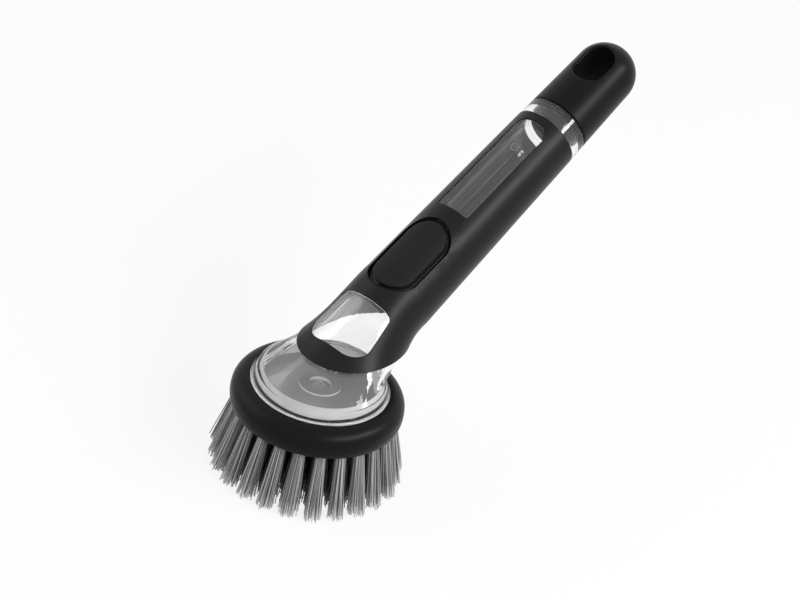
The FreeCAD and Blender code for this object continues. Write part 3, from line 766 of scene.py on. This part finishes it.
@dataclass(frozen=True)
class TuftRing:
    """One ring of tufts: bundles of filaments that fan out from the plate."""

    name: str
    count: int
    root_circle: float
    tone_and_shade: tuple[float, float]
    seed: int
    fan: float = 36.3 / 30.2
    root_radius: float = 1.7 * MM
    tip_radius: float = 3.4 * MM
    root_height: float = 30.5 * MM
    tip_rise: float = 2.2 * MM
    filament_radius: float = 0.22 * MM
    bow: float = 2.2 * MM
    filaments: int = 84
    rings: int = 6
    sides: int = 5

    def inputs(self, material: bpy.types.Material) -> dict[str, tuple[str, Any]]:
        """List the node tree's inputs.

        Args:
            material: Finish of the filaments.

        Returns:
            Each input's name, with its kind and value.
        """
        return {
            "Tufts": ("NodeSocketInt", self.count),
            "Filaments": ("NodeSocketInt", self.filaments),
            "Seed": ("NodeSocketInt", self.seed),
            "Root Circle": ("NodeSocketFloat", self.root_circle),
            "Tip Circle": ("NodeSocketFloat", self.root_circle * self.fan),
            "Root Radius": ("NodeSocketFloat", self.root_radius),
            "Tip Radius": ("NodeSocketFloat", self.tip_radius),
            "Root Height": ("NodeSocketFloat", self.root_height),
            "Tip Rise": ("NodeSocketFloat", self.tip_rise),
            "Filament Radius": ("NodeSocketFloat", self.filament_radius),
            "Bow": ("NodeSocketFloat", self.bow),
            "Tone And Shade Low": ("NodeSocketFloat", self.tone_and_shade[0]),
            "Tone And Shade High": ("NodeSocketFloat", self.tone_and_shade[1]),
            "Material": ("NodeSocketMaterial", material),
        }

    def tree(self, material: bpy.types.Material) -> bpy.types.NodeTree:
        """Build the node tree that lays the filaments.

        Args:
            material: Finish of the filaments.

        Returns:
            A geometry tree with a named input for each of the ring's sizes.
        """
        tree = bpy.data.node_groups.new("tuft_ring", "GeometryNodeTree")
        for label, (kind, _) in self.inputs(material).items():
            tree.interface.new_socket(label, in_out="INPUT", socket_type=kind)
        tree.interface.new_socket("Geometry", in_out="OUTPUT", socket_type="NodeSocketGeometry")
        given = add(tree, "NodeGroupInput").outputs
        laid = self.swept(tree, given, self.rooted(tree, given))
        painted = add(tree, "GeometryNodeSetMaterial", {"Geometry": laid, "Material": given["Material"]})
        add(tree, "NodeGroupOutput", {0: painted.outputs[0]})
        return tree

    def rooted(self, tree: bpy.types.NodeTree, given: Any) -> bpy.types.NodeSocket:
        """Make one point for each filament, which knows its root, tip, tone and bow.

        Args:
            tree: Tree that is being built.
            given: Outputs of the tree's input node.

        Returns:
            The points.
        """
        index = add(tree, "GeometryNodeInputIndex").outputs[0]
        tuft = maths(tree, "FLOOR", maths(tree, "DIVIDE", index, given["Filaments"]))
        number = maths(tree, "SUBTRACT", index, maths(tree, "MULTIPLY", tuft, given["Filaments"]))
        angle = maths(tree, "MULTIPLY", maths(tree, "DIVIDE", tuft, given["Tufts"]), math.tau)
        share = maths(tree, "DIVIDE", maths(tree, "ADD", number, 0.5), given["Filaments"])
        out = maths(tree, "SQRT", share)

        def draw(low: Any, high: Any, shift: int, owner: Any = index) -> bpy.types.NodeSocket:
            """Draw a random number for each filament, or for each tuft."""
            seed = maths(tree, "ADD", given["Seed"], shift)
            return add(tree, "FunctionNodeRandomValue", {
                "Min": low, "Max": high, "ID": owner, "Seed": seed}, data_type="FLOAT").outputs["Value"]

        golden = math.pi * (3 - math.sqrt(5))
        turn = maths(tree, "ADD", maths(tree, "MULTIPLY", number, golden), draw(0.0, math.tau, 11, tuft))
        across = maths(tree, "MULTIPLY", out, maths(tree, "COSINE", turn))
        beside = maths(tree, "MULTIPLY", out, maths(tree, "SINE", turn))

        def end(circle: Any, radius: Any, height: Any, stray: float, shift: int) -> bpy.types.NodeSocket:
            """Place a filament's end on its tuft's disc, with a little stray."""
            first = maths(tree, "MULTIPLY", radius, maths(tree, "ADD", across, draw(-stray, stray, shift)))
            second = maths(tree, "MULTIPLY", radius, maths(tree, "ADD", beside, draw(-stray, stray, shift + 1)))
            local = joined(tree, maths(tree, "ADD", circle, first), second, height)
            placed = add(tree, "ShaderNodeVectorRotate", {
                "Vector": local, "Axis": (0.0, 0.0, 1.0), "Angle": angle}, rotation_type="AXIS_ANGLE").outputs[0]
            return add(tree, "ShaderNodeVectorMath", {
                0: placed, 1: (AXIS.crossing[0], 0.0, 0.0)}, operation="ADD").outputs[0]

        tip_height = maths(tree, "MULTIPLY", given["Tip Rise"], draw(0.0, 1.0, 31))
        total = maths(tree, "MULTIPLY", given["Tufts"], given["Filaments"])
        points = add(tree, "GeometryNodePoints", {"Count": total}).outputs[0]
        root = end(given["Root Circle"], given["Root Radius"], given["Root Height"], 0.05, 21)
        tip = end(given["Tip Circle"], given["Tip Radius"], tip_height, 0.22, 41)
        for label, kind, value in (
            ("root", "FLOAT_VECTOR", root),
            ("tip", "FLOAT_VECTOR", tip),
            (TONE_AND_SHADE, "FLOAT", draw(given["Tone And Shade Low"], given["Tone And Shade High"], 51)),
            ("bow", "FLOAT", maths(tree, "MULTIPLY", given["Bow"], draw(-1.0, 1.0, 61))),
        ):
            points = add(tree, "GeometryNodeStoreNamedAttribute", {
                "Geometry": points, "Name": label, "Value": value}, data_type=kind, domain="POINT").outputs[0]
        return points

    def swept(self, tree: bpy.types.NodeTree, given: Any, points: bpy.types.NodeSocket) -> bpy.types.NodeSocket:
        """Lay a bowed, tapered filament from each point's root to its tip.

        Args:
            tree: Tree that is being built.
            given: Outputs of the tree's input node.
            points: The points.

        Returns:
            The filaments as a mesh.
        """
        line = add(tree, "GeometryNodeCurvePrimitiveLine", {"End": (0.0, 0.0, 1.0)}).outputs[0]
        line = add(tree, "GeometryNodeResampleCurve", {"Curve": line, "Count": self.rings}).outputs[0]
        laid = add(tree, "GeometryNodeInstanceOnPoints", {"Points": points, "Instance": line}).outputs[0]
        laid = add(tree, "GeometryNodeRealizeInstances", {"Geometry": laid}).outputs[0]

        def stored(label: str, kind: str) -> bpy.types.NodeSocket:
            """Read what was stored on the points."""
            return add(tree, "GeometryNodeInputNamedAttribute", {"Name": label}, data_type=kind).outputs[0]

        along = add(tree, "GeometryNodeSplineParameter").outputs["Factor"]
        straight = add(tree, "ShaderNodeMix", {
            "Factor": maths(tree, "POWER", along, 1.2),
            4: stored("root", "FLOAT_VECTOR"), 5: stored("tip", "FLOAT_VECTOR")}, data_type="VECTOR").outputs[1]
        arch = maths(tree, "MULTIPLY", along, maths(tree, "SUBTRACT", 1.0, along))
        lean = maths(tree, "MULTIPLY", arch, stored("bow", "FLOAT"))
        aside = joined(tree, lean, maths(tree, "MULTIPLY", lean, 0.6), 0.0)
        bent = add(tree, "ShaderNodeVectorMath", {0: straight, 1: aside}, operation="ADD").outputs[0]
        laid = add(tree, "GeometryNodeSetPosition", {"Geometry": laid, "Position": bent}).outputs[0]
        laid = add(tree, "GeometryNodeStoreNamedAttribute", {
            "Geometry": laid, "Name": ALONG, "Value": along}, data_type="FLOAT", domain="POINT").outputs[0]
        thin = maths(tree, "SUBTRACT", 1.0, maths(tree, "MULTIPLY", maths(tree, "POWER", along, 6.0), 0.5))
        laid = add(tree, "GeometryNodeSetCurveRadius", {"Curve": laid, "Radius": thin}).outputs[0]
        ring = add(tree, "GeometryNodeCurvePrimitiveCircle", {
            "Resolution": self.sides, "Radius": given["Filament Radius"]}).outputs[0]
        tubes = add(tree, "GeometryNodeCurveToMesh", {
            "Curve": laid, "Profile Curve": ring, "Fill Caps": True}).outputs[0]
        return add(tree, "GeometryNodeRealizeInstances", {"Geometry": tubes}).outputs[0]

    def build(self, material: bpy.types.Material) -> bpy.types.Object:
        """Lay the filaments and turn them into a plain mesh.

        Args:
            material: Finish of the filaments.

        Returns:
            The ring of tufts, which stands for its node.
        """
        carrier = bpy.data.objects.new("filament_carrier", bpy.data.meshes.new("filament_carrier"))
        bpy.context.scene.collection.objects.link(carrier)
        modifier = carrier.modifiers.new("filaments", "NODES")
        modifier.node_group = self.tree(material)
        values = self.inputs(material)
        for item in modifier.node_group.interface.items_tree:
            if item.in_out == "INPUT":
                modifier[item.identifier] = values[item.name][1]
        graph = bpy.context.evaluated_depsgraph_get()
        mesh = bpy.data.meshes.new_from_object(carrier.evaluated_get(graph))
        bpy.data.objects.remove(carrier)
        mesh.name = f"{self.name}_filaments"
        mesh.shade_smooth()
        piece = bpy.data.objects.new(mesh.name, mesh)
        bpy.context.scene.collection.objects.link(piece)
        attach(piece, Body.BRUSH.value)
        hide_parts(self.name)
        LOG.info("%s: %d faces", piece.name, len(mesh.polygons))
        return piece


@dataclass
class Bristles:
    """The four rings of tufts, the inner ones painted a darker grey as the shade between the tufts."""

    rings: tuple[TuftRing, ...] = (
        TuftRing("tufts_outer", 24, 30.2 * MM, (0.35, 1.0), 7),
        # The three inner rings draw only from the dark end: painted shade between the tufts.
        TuftRing("tufts_second", 19, 23.6 * MM, (0.0, 0.3), 107, tip_radius=4.4 * MM, filaments=110),
        TuftRing("tufts_third", 14, 17.0 * MM, (0.0, 0.2), 207, tip_radius=4.4 * MM, filaments=110),
        TuftRing("tufts_inner", 8, 10.4 * MM, (0.0, 0.2), 307, tip_radius=4.4 * MM, filaments=110),
    )

    def build(self, finishes: Finishes) -> None:
        """Lay all rings, with their finish."""
        for ring in self.rings:
            ring.build(finishes.nylon)


# Studio

@dataclass(frozen=True)
class SoftBox:
    """Flat lamp that points at the wand."""

    name: str
    place: tuple[float, float, float]
    size: tuple[float, float]
    power: float
    aim: tuple[float, float, float] = (0.0, 0.0, 0.08)

    def hang(self) -> None:
        """Hang the lamp in its place."""
        data = bpy.data.lights.new(self.name, "AREA")
        data.shape = "RECTANGLE"
        data.size, data.size_y = self.size
        data.energy = self.power
        lamp = bpy.data.objects.new(self.name, data)
        lamp.location = self.place
        lamp.rotation_mode = "QUATERNION"
        lamp.rotation_quaternion = (Vector(self.aim) - Vector(self.place)).to_track_quat("-Z", "Y")
        bpy.context.scene.collection.objects.link(lamp)


@dataclass
class Studio:
    """White floor, soft boxes and a camera at the photograph's angle."""

    camera_place: tuple[float, float, float] = (-0.71142, -0.44398, 0.58160)
    camera_right: tuple[float, float, float] = (0.62542, -0.75986, 0.17741)
    camera_up: tuple[float, float, float] = (0.32646, 0.46132, 0.82499)
    focal_pixels: float = 2400.0
    floor_size: float = 12.0
    room_light: float = 0.45
    floor_glow: float = 0.86
    boxes: tuple[SoftBox, ...] = (
        SoftBox("side_box", (0.12, -0.9, 0.77), (1.2, 0.18), 12.0),
        SoftBox("back_box", (-0.5, 0.9, 0.7), (1.0, 1.0), 4.0),
    )

    def camera(self) -> None:
        """Make the camera."""
        data = bpy.data.cameras.new("camera")
        data.sensor_width = SENSOR_WIDTH
        data.lens = self.focal_pixels / IMAGE_WIDTH * SENSOR_WIDTH
        data.clip_start = 0.01
        data.clip_end = 100.0
        camera = bpy.data.objects.new("camera", data)
        right = Vector(self.camera_right).normalized()
        back = right.cross(Vector(self.camera_up)).normalized()
        up = back.cross(right)
        turn = Matrix((right, up, back)).transposed()
        camera.matrix_world = Matrix.Translation(Vector(self.camera_place)) @ turn.to_4x4()
        bpy.context.scene.collection.objects.link(camera)
        bpy.context.scene.camera = camera

    def seen(self, tree: bpy.types.NodeTree) -> bpy.types.NodeSocket:
        """Tell the rays that look at the room from those that light the wand.

        Args:
            tree: Tree of the floor or the world.

        Returns:
            1 for rays from the camera, a glossy face or a clear piece, and 0 for the rest.
        """
        rays = add(tree, "ShaderNodeLightPath").outputs
        looking = maths(tree, "MAXIMUM", rays["Is Camera Ray"], rays["Is Transmission Ray"])
        return maths(tree, "MAXIMUM", looking, rays["Is Glossy Ray"])

    def floor(self) -> None:
        """Lay a pale floor that shows white and keeps a soft shadow."""
        material, tree = new_material("matt_white_paper")
        paper = add(tree, "ShaderNodeBsdfDiffuse", {"Color": linear("#f2f2f2")})
        glow = add(tree, "ShaderNodeEmission", {"Color": (1.0, 1.0, 1.0, 1.0), "Strength": 1.0})
        share = maths(tree, "MULTIPLY", self.seen(tree), self.floor_glow)
        mixed = add(tree, "ShaderNodeMixShader", {0: share, 1: paper.outputs[0], 2: glow.outputs[0]})
        add(tree, "ShaderNodeOutputMaterial", {"Surface": mixed.outputs[0]})
        half = self.floor_size / 2
        mesh = bpy.data.meshes.new("floor")
        corners = [(-half, -half, 0), (half, -half, 0), (half, half, 0), (-half, half, 0)]
        mesh.from_pydata(corners, [], [(0, 1, 2, 3)])
        mesh.materials.append(material)
        floor = bpy.data.objects.new("floor", mesh)
        bpy.context.scene.collection.objects.link(floor)

    def world(self) -> None:
        """Light the room evenly, and show it white where it is looked at."""
        world = bpy.data.worlds.new("white_room")
        world.use_nodes = True
        tree = world.node_tree
        tree.nodes.clear()
        level = add(tree, "ShaderNodeMapRange", {
            "Value": self.seen(tree), "To Min": self.room_light, "To Max": 1.0})
        sky = add(tree, "ShaderNodeBackground", {
            "Color": (1.0, 1.0, 1.0, 1.0), "Strength": level.outputs["Result"]})
        add(tree, "ShaderNodeOutputWorld", {"Surface": sky.outputs[0]})
        bpy.context.scene.world = world

    def build(self) -> None:
        """Set up the room, the lamps and the camera."""
        self.camera()
        self.floor()
        self.world()
        for box in self.boxes:
            box.hang()
        bpy.context.scene.view_settings.view_transform = "Standard"


def main() -> None:
    """Build the wand's sub-assemblies in order, then the studio."""
    logging.basicConfig(level=logging.INFO, format="%(name)s %(message)s")
    finishes = Finishes()
    grip = SoftGrip()
    grip.build()
    grip.dress(finishes)
    tank = SoapTank()
    tank.build()
    tank.dress(finishes, grip.cover())
    for assembly in (PushButton(), ScrewCap(), TankFoot(), BrushHead()):
        assembly.build()
        assembly.dress(finishes)
    Bristles().build(finishes)
    Studio().build()


if __name__ == "__main__":
    main()
